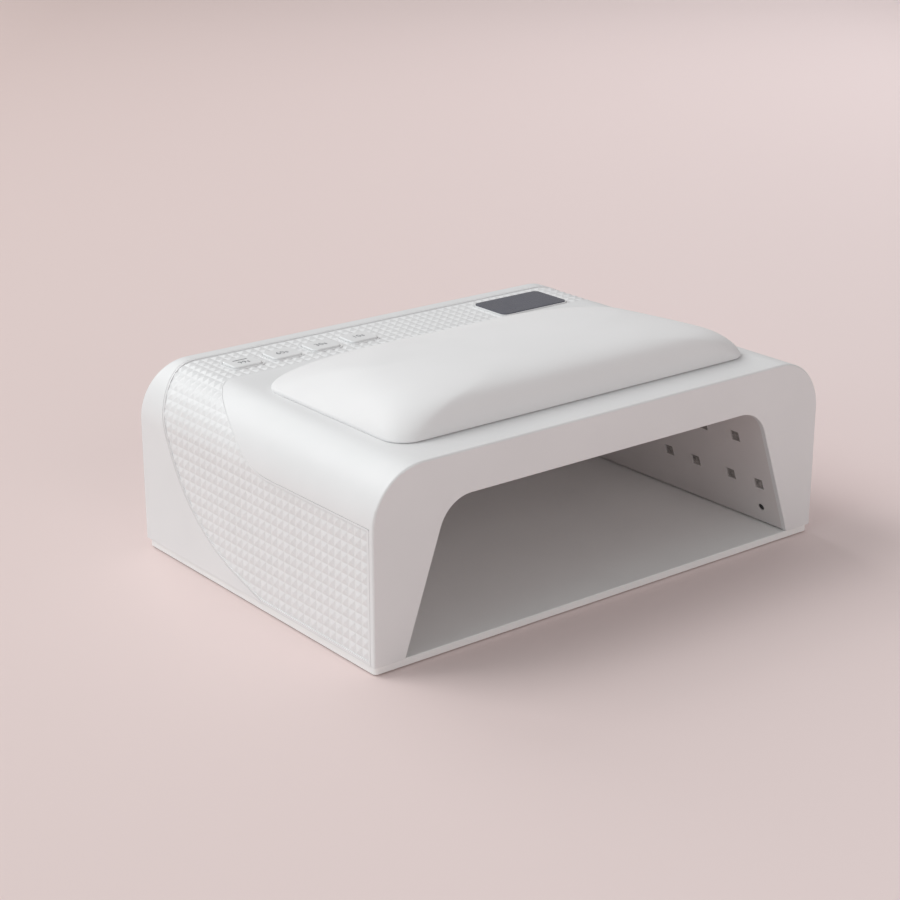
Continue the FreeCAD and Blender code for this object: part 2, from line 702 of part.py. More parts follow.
def along_socket(radius, start, end):
    """Cylinder on the socket's axis between two distances back."""
    return Part.makeCylinder(radius, end - start, Vector(SOCKET_X, start, SOCKET_Z), Vector(0, 1, 0))


def power_socket():
    """Round power socket behind the back wall, its nose nearly flush in the casing hole."""
    width, depth, height = SOCKET_BODY
    inside = BACK - WALL
    body = box((SOCKET_X - width / 2, SOCKET_X + width / 2), (inside - depth, inside),
               (SOCKET_Z - height / 2, SOCKET_Z + height / 2))
    nose = along_socket(SOCKET_NOSE, inside - 1, SOCKET_MOUTH)
    bore = along_socket(SOCKET_RADIUS, SOCKET_MOUTH - SOCKET_DEPTH, SOCKET_MOUTH)
    return [joined([body, nose]).cut(bore)]


def socket_pin():
    """Centre contact of the power socket."""
    return [along_socket(SOCKET_PIN, SOCKET_MOUTH - SOCKET_DEPTH, SOCKET_MOUTH - SOCKET_PIN_SHORT)]


def lead(points, bend):
    """Insulated lead along straight runs joined by tangent arcs of one bend radius."""
    points = [Vector(*point) for point in points]
    edges = []
    here = points[0]
    for before, corner, after in zip(points, points[1:], points[2:]):
        back = (before - corner).normalize()
        ahead = (after - corner).normalize()
        half_turn = (math.pi - back.getAngle(ahead)) / 2
        reach = bend * math.tan(half_turn)
        start = corner + back * reach
        end = corner + ahead * reach
        inward = (back + ahead).normalize()
        middle = corner + inward * (bend / math.cos(half_turn) - bend)
        edges.append(Part.LineSegment(here, start).toShape())
        edges.append(Part.Arc(start, middle, end).toShape())
        here = end
    edges.append(Part.LineSegment(here, points[-1]).toShape())
    path = Part.Wire(edges)
    direction = points[1] - points[0]
    section = Part.Wire(Part.Circle(points[0], direction, LEAD).toShape())
    return path.makePipeShell([section], True, True)


def power_leads():
    """Two leads from the power socket up to the control board."""
    top = SOCKET_Z + SOCKET_BODY[2] / 2
    low, high = LEAD_JOG_Z
    y = BACK - WALL - LEAD_BACK
    leads = []
    for x in (SOCKET_X - LEAD_SPREAD, SOCKET_X + LEAD_SPREAD):
        over = x - LEAD_JOG
        leads.append(lead([(x, y, top), (x, y, low), (over, y, high), (over, y, CONTROL_Z)], LEAD_BEND))
    return leads


def bead_leads():
    """Leads from the bead boards to the control board."""
    back, up = BEAD_LEAD_START
    start = on_wall(Part.Vertex(back, up, LINER + BOARD)).Point
    out = on_wall(Part.Vertex(back, up, LINER + BOARD + BEAD_LEAD_OUT)).Point
    low, high = BEAD_LEAD_TURN
    bends = [(out.x, out.y, low), (out.x, BEAD_LEAD_END, high), (out.x, BEAD_LEAD_END, CONTROL_Z)]
    side = lead([start, out, *bends], BEAD_LEAD_BEND)
    roof_top = TUNNEL_TOP + LINER + BOARD
    roof = lead([(*ROOF_LEAD, roof_top), (*ROOF_LEAD, CONTROL_Z)], BEAD_LEAD_BEND)
    return both_sides([side]) + [roof]


def liner_screws():
    """Screws up through the liner flange into the bosses of the casing mouldings."""
    return [screw((*point, SCREW_SEAT), (0, 0, 1), SCREW, SCREW_HEAD, SCREW_HEAD_HEIGHT, LINER_SCREW_LENGTH)
            for point in screw_points()]


def cushion_outline(z, side, front, back):
    """Closed outline of the cushion at a height: round front corners, long elliptical rear corners."""
    half = CUSHION_HALF - side
    near = CUSHION_FRONT + front
    far = CUSHION_BACK - back
    corner = min(CUSHION_CORNER, 0.4 * (far - near))
    wide, deep = CUSHION_REAR_CORNER
    deep *= (far - near) / (CUSHION_BACK - CUSHION_FRONT)

    def line(start, end):
        return Part.LineSegment(Vector(*start, z), Vector(*end, z)).toShape()

    def quarter(x, y, turn):
        circle = Part.Circle(Vector(x, y, z), Vector(0, 0, 1), corner)
        return circle.toShape(math.radians(turn), math.radians(turn + 90))

    def long_quarter(x, y, turn):
        ellipse = Part.Ellipse(Vector(x, y, z), wide, deep)
        return ellipse.toShape(math.radians(turn), math.radians(turn + 90))

    return Part.Wire([
        line((-half + corner, near), (half - corner, near)),
        quarter(half - corner, near + corner, 270),
        line((half, near + corner), (half, far - deep)),
        long_quarter(half - wide, far - deep, 0),
        line((half - wide, far), (-half + wide, far)),
        long_quarter(-half + wide, far - deep, 90),
        line((-half, far - deep), (-half, near + corner)),
        quarter(-half + corner, near + corner, 180),
    ])


def cushion_form(inset=0.0, spread=(0.0, 0.0, 0.0)):
    """Pillow form lofted through its outlines, made lower by an inset and narrower by three spreads."""
    foot = CUSHION_FOOT + inset
    height = CUSHION_TOP - inset - foot
    wires = []
    for share, *insets in CUSHION_LEVELS:
        wires.append(cushion_outline(foot + share * height, *[a + b for a, b in zip(insets, spread)]))
    return Part.makeLoft(wires, True, False)


def tray_form():
    """Flat tray with its four screw bosses, undrilled."""
    foot = cushion_outline(SHELL_TOP, *TRAY_INSET)
    plate = Part.Face(foot).extrude(Vector(0, 0, TRAY))
    bosses = [post(point, TRAY_BOSS, (SHELL_TOP, TRAY_BOSS_TOP)) for point in CUSHION_SCREWS]
    return joined([plate, *bosses])


def cushion_tray():
    """Stiff tray inside the foot of the cushion."""
    drills = [post(point, SCREW, (SHELL_TOP - BEYOND, TRAY_BOSS_TOP - BEYOND)) for point in CUSHION_SCREWS]
    return [tray_form().cut(drills)]


def cushion_foam():
    """Foam block inside the cover, over the tray."""
    return [cushion_form(COVER, COVER_SPREAD).cut(tray_form())]


def cushion_cover():
    """Soft cover around the foam, turned in under its edge as far as the tray."""
    return [cushion_form().cut([cushion_form(COVER, COVER_SPREAD), tray_form()])]


def cushion_screws():
    """Screws up through the cape into the bosses of the cushion tray."""
    return [screw((*point, SHELL_INSIDE), (0, 0, 1), SCREW, SCREW_HEAD, SCREW_HEAD_HEIGHT,
                  TRAY_BOSS_TOP - SCREW - SHELL_INSIDE) for point in CUSHION_SCREWS]


def parts():
    """Every node of the lamp with its solids."""
    right_board = side_board()
    right_sensor = sensor()
    right_beads = side_beads()
    nodes = {
        "base_plate": base_plate(),
        "base_feet": base_feet(),
        "steel_keepers": steel_keepers(),
        "magnets": magnets(),
        "front_shell": front_shell(),
        "middle_shell": middle_shell(),
        "rear_shell": rear_shell(),
        "reflector_liner": reflector_liner(),
        "liner_screws": liner_screws(),
        "bead_board_right": [right_board],
        "bead_board_left": both_sides([right_board])[1:],
        "bead_board_roof": roof_board(),
        "uv_beads_right": right_beads,
        "uv_beads_left": both_sides(right_beads)[len(right_beads):],
        "uv_beads_roof": roof_beads(),
        "board_screws": board_screws(),
        "hand_sensor_right": [right_sensor],
        "hand_sensor_left": both_sides([right_sensor])[1:],
        "control_board": control_board(),
        "control_board_screws": control_board_screws(),
        "control_board_parts": board_parts(),
        "buzzer": buzzer(),
        "switch_bodies": switch_bodies(),
        "display_frame": display_frame(),
        "display_window": display_window(),
        "display_module": display_module(),
        "power_socket": power_socket(),
        "power_socket_pin": socket_pin(),
        "power_leads": power_leads(),
        "bead_leads": bead_leads(),
        "cushion_cover": cushion_cover(),
        "cushion_foam": cushion_foam(),
        "cushion_tray": cushion_tray(),
        "cushion_screws": cushion_screws(),
    }
    for number, x in enumerate(KEY_X, start=1):
        nodes[f"timer_key_{number}"] = key(x)
        nodes[f"switch_plunger_{number}"] = plunger(x)
    return nodes


os.makedirs("parts", exist_ok=True)
for name, solids in parts().items():
    shape = solids[0] if len(solids) == 1 else Part.makeCompound(solids)
    shape.exportStep(f"parts/{name}.step")
    print(name, len(shape.Solids), shape.isValid(), round(shape.Volume, 1))
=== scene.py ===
"""Looks of a tabletop ultraviolet nail lamp with a padded hand rest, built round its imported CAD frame.

Sizes of the object are in millimetres up to the moment a mesh is made. The floor, the lights, the
camera and the depths of bumps are in metres.
"""
import math

import bpy
import numpy as np
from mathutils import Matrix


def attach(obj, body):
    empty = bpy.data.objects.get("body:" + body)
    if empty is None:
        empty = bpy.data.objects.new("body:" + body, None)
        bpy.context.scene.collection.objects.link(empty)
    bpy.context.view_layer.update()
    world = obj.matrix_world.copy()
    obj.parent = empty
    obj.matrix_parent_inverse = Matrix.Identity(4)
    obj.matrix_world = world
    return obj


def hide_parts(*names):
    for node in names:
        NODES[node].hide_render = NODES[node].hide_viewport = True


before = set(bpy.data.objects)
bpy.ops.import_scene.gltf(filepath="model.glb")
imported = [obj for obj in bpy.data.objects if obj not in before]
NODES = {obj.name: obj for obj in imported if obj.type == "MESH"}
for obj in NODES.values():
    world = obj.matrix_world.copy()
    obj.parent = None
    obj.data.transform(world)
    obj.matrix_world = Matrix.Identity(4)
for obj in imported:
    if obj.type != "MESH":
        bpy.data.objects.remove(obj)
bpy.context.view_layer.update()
MM = 0.001

# Casing, as in the CAD part
HALF = 141.5
FRONT, BACK = -99.0, 99.0
TOP, FOOT = 97.0, 4.7
CORNER = 28.0
WALL = 2.5
FACE = 2.8
CAPE_BACK, CAPE_SIDE = 54.3, 70.6
REAR_TOP = 93.0
CAPE_POLES = ((-20.0, CAPE_SIDE), (15.7, CAPE_SIDE), (-5.4, 80.6), (43.5, 93.0), (CAPE_BACK, TOP))
REAR_POLES = ((REAR_TOP, TOP), (63.2, 71.0), (96.2, 55.8), (27.0, 0.2), (22.0, 18.8), (-12.0, 3.0))
KEY_X = (-97.3, -73.3, -49.3, -25.3)
KEY_Y = 71.8
KEY_HOLE = (17.9, 14.5)
KEY_HOLE_RADIUS = 3.25
DISPLAY = (83.5, 69.4)
DISPLAY_HOLE = (47.3, 28.6)
DISPLAY_HOLE_RADIUS = 3.8

# Hidden screw bosses of the middle moulding, and the ribs that tie two of them to the side walls
BOSS, BORE = 3.5, 1.5
BOSS_X = (-116.0, 20.0, 116.0)
BOSS_Y = (62.0, 86.5)
BOSS_FOOT = 87.6
BOSS_SIDES = 24
BORE_CAP = 1.0
FLANGE_BOSS = (132.5, -30.0)
FLANGE_BOSS_Z = (9.0, 18.0)
RIB_HALF = 1.0
RIB_BITE = 0.3
WALL_BITE = 0.1

# Raised pyramids on the middle moulding, in the developed surface of the arch
FLAT_HALF = HALF - CORNER
ARC_END = FLAT_HALF + CORNER * math.pi / 2
EDGE_AT_FOOT = ARC_END + TOP - CORNER - FOOT
ROWS_OVER = 30
ROWS_DOWN = 12
ROW_SHIFT = 0.3
FIRST_ROW = ARC_END - ROW_SHIFT
ROW_PITCH = FIRST_ROW / ROWS_OVER
COLUMN_PITCH = 5.15
FIRST_COLUMN = -94.5
PYRAMID = 0.6
SEAM_GAP = 0.25
MARGIN = 1.3
HOLE_MARGIN = 1.0

# Rounded outer edge at seams and holes; a tiny drop per step keeps the points of two steps apart
SEAM_ROUND = 0.15
SEAM_ROUND_STEPS = 4
STAGE_DROP = 0.0001

# Behind this stretch of y, the cape's seam and the smooth rim along it are narrower
SWEEP = (-14.0, 2.0)
TIGHT_GAP = 0.08
TIGHT_MARGIN = 0.45


# ---------------------------------------------------------------- meshes

def make_piece(name, points, faces, body, material, smooth=None, sharp=35.0):
    """Mesh object from millimetre points, riding on a body; faces that aren't smooth keep hard edges."""
    mesh = bpy.data.meshes.new(name)
    mesh.from_pydata([tuple(c * MM for c in p) for p in points], [], faces)
    mesh.validate()
    mesh.materials.append(material)
    mesh.shade_smooth()
    mesh.set_sharp_from_angle(angle=math.radians(sharp))
    facets = set()
    for polygon, soft in zip(mesh.polygons, smooth or []):
        if not soft:
            facets.update(polygon.edge_keys)
    for edge in mesh.edges:
        if edge.key in facets:
            edge.use_edge_sharp = True
    piece = bpy.data.objects.new(name, mesh)
    bpy.context.scene.collection.objects.link(piece)
    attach(piece, body)
    return piece


def box(low, high):
    """Corners and outward faces of a box between two opposite corners."""
    corners = [(x, y, z) for z in (low[2], high[2]) for y in (low[1], high[1]) for x in (low[0], high[0])]
    return corners, [[0, 2, 3, 1], [4, 5, 7, 6], [0, 1, 5, 4], [2, 6, 7, 3], [0, 4, 6, 2], [1, 3, 7, 5]]


def bezier(poles, steps):
    """Points of a Bezier curve."""
    degree = len(poles) - 1
    t = np.linspace(0.0, 1.0, steps)[:, None]
    total = np.zeros((steps, 2))
    for k, pole in enumerate(poles):
        total += math.comb(degree, k) * (1 - t) ** (degree - k) * t ** k * np.array(pole)
    return total


def developed(height):
    """Distance along the arch from the middle of the top, for a height on its outer surface."""
    if height >= TOP:
        return FLAT_HALF
    if height > TOP - CORNER:
        return FLAT_HALF + CORNER * math.acos((height - TOP + CORNER) / CORNER)
    return ARC_END + TOP - CORNER - height


def on_arch(s, y, level):
    """Point of the arch's outer surface, raised by a level along its normal."""
    a, side = abs(s), math.copysign(1.0, s)
    if a <= FLAT_HALF:
        return (s, y, TOP + level)
    if a <= ARC_END:
        turn, radius = (a - FLAT_HALF) / CORNER, CORNER + level
        return (side * (FLAT_HALF + radius * math.sin(turn)), y, TOP - CORNER + radius * math.cos(turn))
    return (side * (HALF + level), y, TOP - CORNER - (a - ARC_END))


TINY = 1e-9


def polygon_distance(s, y, polygon):
    """Signed distance from points to a polygon, positive outside it."""
    near = np.full(s.shape, np.inf)
    inside = np.zeros(s.shape, bool)
    for (s0, y0), (s1, y1) in zip(polygon, np.roll(polygon, -1, axis=0)):
        ds, dy = s1 - s0, y1 - y0
        t = np.clip(((s - s0) * ds + (y - y0) * dy) / max(ds * ds + dy * dy, TINY), 0, 1)
        near = np.minimum(near, np.hypot(s - s0 - t * ds, y - y0 - t * dy))
        if y0 != y1:
            inside ^= ((y0 > y) != (y1 > y)) & (s < ds * (y - y0) / dy + s0)
    return np.where(inside, -near, near)


def slot_distance(s, y, centre, size, radius):
    """Signed distance to a rounded rectangle, positive outside it."""
    a = np.abs(s - centre[0]) - size[0] / 2 + radius
    b = np.abs(y - centre[1]) - size[1] / 2 + radius
    outside = np.hypot(np.maximum(a, 0), np.maximum(b, 0))
    return outside + np.minimum(np.maximum(a, b), 0) - radius


FAR = 400.0
SEAM_STEPS = {"cape": 120, "rear": 160}
cape_line = [(developed(z), y) for y, z in bezier(CAPE_POLES, SEAM_STEPS["cape"])]
CAPE_SHAPE = np.array([(cape_line[0][0], -FAR), *cape_line, (-FAR, CAPE_BACK), (-FAR, -FAR)])
rear_line = [(developed(z), y) for y, z in bezier(REAR_POLES, SEAM_STEPS["rear"])]
REAR_SHAPE = np.array([(-FAR, REAR_TOP), *rear_line, (rear_line[-1][0], FAR), (-FAR, FAR)])

# The two fields of the band: distance in from its own edge, and distance in from the edge of its pyramids
BODY, RAISED = 0, 1


def band_fields(s, y):
    """Both fields, positive inside."""
    s, y = np.asarray(s, float), np.asarray(y, float)
    a = np.abs(s)
    cape, rear = polygon_distance(a, y, CAPE_SHAPE), polygon_distance(a, y, REAR_SHAPE)
    swept = np.clip((y - SWEEP[0]) / (SWEEP[1] - SWEEP[0]), 0, 1)
    swept = swept * swept * (3 - 2 * swept)
    holes = slot_distance(s, y, DISPLAY, DISPLAY_HOLE, DISPLAY_HOLE_RADIUS)
    for x in KEY_X:
        holes = np.minimum(holes, slot_distance(s, y, (x, KEY_Y), KEY_HOLE, KEY_HOLE_RADIUS))
    edge = np.minimum.reduce([
        rear - SEAM_GAP,
        y - FRONT - FACE - SEAM_GAP,
        cape - SEAM_GAP + (SEAM_GAP - TIGHT_GAP) * swept,
        EDGE_AT_FOOT - a,
        holes,
    ])
    pyramids = np.minimum.reduce([
        rear - MARGIN,
        cape - MARGIN + (MARGIN - TIGHT_MARGIN) * swept,
        holes - HOLE_MARGIN,
        y - FIRST_COLUMN,
        FIRST_ROW + ROWS_DOWN * ROW_PITCH - a,
    ])
    return edge - SEAM_ROUND, pyramids


def field(points, which):
    """One of the two band fields at a list of points."""
    points = np.array(points, float)
    return band_fields(points[:, 0], points[:, 1])[which]


GRADIENT_STEP = 0.02
SETTLE_STEPS = 3
HALVINGS = 22
STRAIGHT = 0.001


def slope(points, which):
    """Unit gradient of a band field at a list of points."""
    points = np.array(points, float)
    across, along = (
        field(points + shift, which) - field(points - shift, which)
        for shift in ((GRADIENT_STEP, 0), (0, GRADIENT_STEP))
    )
    grad = np.stack([across, along], 1)
    return grad / np.maximum(np.linalg.norm(grad, axis=1, keepdims=True), TINY)


def settle(points, which):
    """Moves points onto the zero line of a band field."""
    points = np.array(points, float)
    for _ in range(SETTLE_STEPS):
        points = points - slope(points, which) * field(points, which)[:, None]
    return points


class Sheet:
    """Polygons of the band in the developed surface, cut along the zero lines of its two fields."""

    def __init__(self):
        self.points = []
        self.index = {}
        self.cuts = {}

    def add(self, s, y):
        """Number of a point, which is kept once only."""
        key = (round(s, 4), round(y, 4))
        if key not in self.index:
            self.index[key] = len(self.points)
            self.points.append((s, y))
        return self.index[key]

    def collect(self, polygons, values, which):
        """Finds where a zero line crosses the polygons' edges, all of them in one go."""
        wanted = set()
        for polygon in polygons:
            for a, b in zip(polygon, polygon[1:] + polygon[:1]):
                if (values[a] >= 0) != (values[b] >= 0):
                    wanted.add((min(a, b), max(a, b)))
        wanted = sorted(wanted)
        if not wanted:
            return
        p = np.array([self.points[a] for a, b in wanted])
        q = np.array([self.points[b] for a, b in wanted])
        low, high = np.zeros(len(p)), np.ones(len(p))
        starts_in = np.array([values[a] >= 0 for a, b in wanted])
        for _ in range(HALVINGS):
            middle = (low + high) / 2
            is_in = field(p + (q - p) * middle[:, None], which) >= 0
            same = is_in == starts_in
            low, high = np.where(same, middle, low), np.where(same, high, middle)
        for (a, b), (s, y) in zip(wanted, p + (q - p) * ((low + high) / 2)[:, None]):
            self.cuts[(a, b, which)] = self.add(float(s), float(y))

    def split(self, polygons, which):
        """Polygons inside and outside the zero line, and the chords where they were cut."""
        values = field(self.points, which)
        self.collect(polygons, values, which)
        inside, outside = [], []
        for polygon in polygons:
            flags = [values[k] >= 0 for k in polygon]
            if all(flags):
                inside.append(polygon)
                continue
            if not any(flags):
                outside.append(polygon)
                continue
            halves = ([], [])
            for a, b, fa, fb in zip(polygon, polygon[1:] + polygon[:1], flags, flags[1:] + flags[:1]):
                halves[0 if fa else 1].append(a)
                if fa != fb:
                    cut = self.cuts[(min(a, b), max(a, b), which)]
                    halves[0].append(cut)
                    halves[1].append(cut)
            inside.append(distinct(halves[0]))
            outside.append(distinct(halves[1]))
        return [p for p in inside if len(p) > 2], [p for p in outside if len(p) > 2]


def distinct(polygon):
    """Polygon without repeated corners."""
    return [k for k, before in zip(polygon, polygon[-1:] + polygon[:-1]) if k != before]


def rounded_chords(sheet, polygons, edges, which):
    """Adds a corner on the zero line in the middle of each cut edge, to every polygon that has the edge."""
    ordered = sorted({(min(e), max(e)) for e in edges})
    middles = [tuple((np.array(sheet.points[a]) + sheet.points[b]) / 2) for a, b in ordered]
    extra = {}
    for edge, (s, y) in zip(ordered, settle(middles, which)):
        extra[edge] = sheet.add(float(s), float(y))
    result = []
    for polygon in polygons:
        grown = []
        for a, b in zip(polygon, polygon[1:] + polygon[:1]):
            grown.append(a)
            middle = extra.get((min(a, b), max(a, b)))
            if middle is not None and middle not in (a, b):
                grown.append(middle)
        result.append(grown)
    return result


def directed(polygons):
    """All sides of the polygons, each with its direction."""
    return {(a, b) for p in polygons for a, b in zip(p, p[1:] + p[:1])}


def border(sides):
    """Sides that have a polygon on one side only."""
    return [side for side in sides if side[::-1] not in sides]


def screw_boss(x, y, foot, top):
    """Closed round post with a blind bore from below."""
    around = BOSS_SIDES
    points = []
    for radius, z in ((BOSS, foot), (BOSS, top), (BORE, foot), (BORE, top - BORE_CAP)):
        for k in range(around):
            turn = 2 * math.pi * k / around
            points.append((x + radius * math.cos(turn), y + radius * math.sin(turn), z))
    faces = [list(range(around, 2 * around)), list(range(3 * around, 4 * around))]
    for k in range(around):
        n = (k + 1) % around
        faces.append([k, n, around + n, around + k])
        faces.append([2 * around + n, 2 * around + k, 3 * around + k, 3 * around + n])
        faces.append([n, k, 2 * around + k, 2 * around + n])
    return points, faces


def inner_bosses():
    """Hidden screw bosses of the middle moulding: six over the control board, two at the liner flange."""
    made = [screw_boss(x, y, BOSS_FOOT, TOP - WALL + WALL_BITE) for x in BOSS_X for y in BOSS_Y]
    for side in (-1, 1):
        made.append(screw_boss(side * FLANGE_BOSS[0], FLANGE_BOSS[1], *FLANGE_BOSS_Z))
        x = sorted((side * (FLANGE_BOSS[0] + BOSS - RIB_BITE), side * (HALF - WALL + WALL_BITE)))
        y = (FLANGE_BOSS[1] - RIB_HALF, FLANGE_BOSS[1] + RIB_HALF)
        made.append(box(*zip(x, y, FLANGE_BOSS_Z)))
    return made


def lattice(sheet):
    """Triangles over the whole band, with corners on the foot lines and the peaks of the pyramids."""
    columns = int((BACK - FIRST_COLUMN) / COLUMN_PITCH * 2) + 2
    rows = 2 * (ROWS_OVER + ROWS_DOWN) + 2

    def corner(i, j):
        return sheet.add(j * ROW_PITCH / 2, FIRST_COLUMN + i * COLUMN_PITCH / 2)

    triangles = []
    for i in range(-2, columns):
        for j in range(-rows, rows):
            a, b, c, d = corner(i, j), corner(i, j + 1), corner(i + 1, j + 1), corner(i + 1, j)
            if (i + j) % 2 == 0:
                triangles += [[a, b, c], [a, c, d]]
            else:
                triangles += [[a, b, d], [b, c, d]]
    return triangles


class Shell:
    """Points and faces of the middle moulding, built over the corners of a sheet."""

    def __init__(self, sheet):
        self.sheet = sheet
        self.points = []
        self.faces = []
        self.soft = []
        self.made = {}

    def add(self, face, smooth=True):
        self.faces.append(face)
        self.soft.append(smooth)

    def point(self, k, level, where=None):
        """Number of the point over corner k of the sheet, or over a place beside it."""
        key = (k, round(level, 5), where is not None)
        if key not in self.made:
            self.made[key] = len(self.points)
            s, y = self.sheet.points[k] if where is None else where
            self.points.append(on_arch(s, y, level))
        return self.made[key]

    def on_pyramid(self, k):
        """Number of the point over corner k of the sheet, on the faces of the pyramids."""
        s, y = self.sheet.points[k]
        u = abs((s / ROW_PITCH) % 1.0 - 0.5) * 2
        v = abs(((y - FIRST_COLUMN) / COLUMN_PITCH) % 1.0 - 0.5) * 2
        return self.point(k, -PYRAMID * max(u, v))

    def on_edge(self, k, out, stage):
        """Corner k carried round the edge of the wall, from its outer face down to its inner one."""
        if stage == 0:
            return self.point(k, 0.0)
        if stage == SEAM_ROUND_STEPS + 1:
            return self.point(k, -WALL)
        turn = math.pi / 2 * stage / SEAM_ROUND_STEPS
        reach = SEAM_ROUND * math.sin(turn)
        s, y = self.sheet.points[k]
        where = (s + out[0] * reach, y + out[1] * reach)
        return self.point(k, -SEAM_ROUND * (1 - math.cos(turn)) - STAGE_DROP * stage, where)

    def close(self, sides):
        """Rounds the outer edge along the sides and closes the wall under it."""
        ring = sorted({k for side in sides for k in side})
        out = dict(zip(ring, -slope([self.sheet.points[k] for k in ring], BODY)))
        for a, b in sides:
            for stage in range(SEAM_ROUND_STEPS + 1):
                self.add([self.on_edge(b, out[b], stage), self.on_edge(a, out[a], stage),
                          self.on_edge(a, out[a], stage + 1), self.on_edge(b, out[b], stage + 1)])

    def join(self, points, faces):
        """Adds a closed solid of its own."""
        start = len(self.points)
        self.points.extend(points)
        for face in faces:
            self.add([start + k for k in face])


def textured_band(material):
    """Middle moulding: smooth rims along its seams and holes, and small raised pyramids between them."""
    sheet = Sheet()
    body, _ = sheet.split(lattice(sheet), BODY)
    raised, rim = sheet.split(body, RAISED)
    rim = rounded_chords(sheet, rim, border(directed(raised) | directed(rim)), BODY)
    step = sorted(border(directed(raised)))
    leans = [
        np.abs(slope([sheet.points[side[end]] for side in step], RAISED)).min(axis=1) > STRAIGHT
        for end in (0, 1)
    ]
    curved = [side for side, start, finish in zip(step, *leans) if start and finish]
    rim = rounded_chords(sheet, rim, curved, RAISED)
    raised = rounded_chords(sheet, raised, curved, RAISED)

    shell = Shell(sheet)
    for polygon in rim:
        shell.add([shell.point(k, 0.0) for k in polygon])
    for polygon in raised:
        shell.add([shell.on_pyramid(k) for k in polygon], False)
    for polygon in rim + raised:
        shell.add([shell.point(k, -WALL) for k in reversed(polygon)])
    tops = directed(raised)
    for a, b in border(tops):
        shell.add([shell.on_pyramid(b), shell.on_pyramid(a), shell.point(a, 0.0), shell.point(b, 0.0)], False)
    shell.close(border(directed(rim) | tops))
    for points, faces in inner_bosses():
        shell.join(points, faces)
    return make_piece("middle_moulding", shell.points, shell.faces, "lamp", material, smooth=shell.soft)


# ---------------------------------------------------------------- cushion

CUSHION_HALF, CUSHION_FRONT, CUSHION_BACK = 112.0, -79.0, 49.5

# Radius of the front corners at the foot and at the crown, and half axes of the rear corners at the foot,
# each kept under a share of the ring's depth or half width
CUSHION_CORNER = (12.0, 26.0)
CUSHION_REAR = (62.0, 30.0)
CUSHION_CORNER_SHARE = 0.45
CUSHION_REAR_SHARE = 0.8

# Above its rim the cushion leans in at both ends, more so towards the back
CUSHION_RIM = 1.8
CUSHION_TAPER = 2.6
CUSHION_TAPER_POWER = 1.5

# Points round a corner or along a side, and rings from one level to the next
CUSHION_PER_SIDE = 10
CUSHION_BETWEEN = 4
CUSHION_LEVELS = (
    # height over the casing, side inset, front inset, back inset
    (0.03, 0.3, 1.3, 0.5),
    (0.4, 0.05, 0.5, 0.3),
    (1.0, 0.0, 0.0, 0.8),
    (2.4, 0.3, 0.1, 2.6),
    (4.8, 1.3, 0.5, 7.0),
    (8.0, 4.0, 1.4, 15.5),
    (11.6, 8.8, 3.0, 27.5),
    (14.9, 17.5, 5.6, 43.0),
    (17.2, 31.0, 9.8, 58.0),
    (18.7, 48.0, 15.8, 70.5),
    (19.5, 66.0, 23.5, 80.0),
    (19.8, 85.0, 32.5, 86.5),
)


def smooth_through(x, values, at):
    """Monotone cubic curve through values, so that no ring overshoots its neighbours."""
    x, values = np.array(x), np.array(values)
    steps = np.diff(values) / np.diff(x)
    slopes = np.zeros(len(x))
    slopes[0], slopes[-1] = steps[0], steps[-1]
    for k in range(1, len(x) - 1):
        if steps[k - 1] * steps[k] > 0:
            slopes[k] = 2 / (1 / steps[k - 1] + 1 / steps[k])
    k = np.clip(np.searchsorted(x, at, side="right") - 1, 0, len(x) - 2)
    width = x[k + 1] - x[k]
    t = (at - x[k]) / width
    return ((1 + 2 * t) * (1 - t) ** 2 * values[k] + t * (1 - t) ** 2 * width * slopes[k]
            + t * t * (3 - 2 * t) * values[k + 1] - t * t * (1 - t) * width * slopes[k + 1])


def cushion_ring(height, side, front, back):
    """Closed outline of the cushion: round front corners, long elliptical rear corners."""
    per_side = CUSHION_PER_SIDE
    half, near, far = CUSHION_HALF - side, CUSHION_FRONT + front, CUSHION_BACK - back
    corner = CUSHION_CORNER[0] + (CUSHION_CORNER[1] - CUSHION_CORNER[0]) * height / CUSHION_LEVELS[-1][0]
    corner = min(corner, CUSHION_CORNER_SHARE * (far - near))
    wide = min(CUSHION_REAR[0], CUSHION_REAR_SHARE * half)
    deep = CUSHION_REAR[1] * (far - near) / (CUSHION_BACK - CUSHION_FRONT)
    arcs = (
        ((half - corner, near + corner), (corner, corner), 270),
        ((half - wide, far - deep), (wide, deep), 0),
        ((wide - half, far - deep), (wide, deep), 90),
        ((corner - half, near + corner), (corner, corner), 180),
    )
    points = []
    for (x, y), (rx, ry), start in arcs:
        for k in range(per_side + 1):
            turn = math.radians(start + 90 * k / per_side)
            points.append((x + rx * math.cos(turn), y + ry * math.sin(turn)))
    ring = []
    for k, (x, y) in enumerate(points):
        ring.append((x, y))
        if k % (per_side + 1) == per_side:
            end_x, end_y = points[(k + 1) % len(points)]
            for j in range(1, per_side):
                t = j / per_side
                ring.append((x + (end_x - x) * t, y + (end_y - y) * t))
    return ring


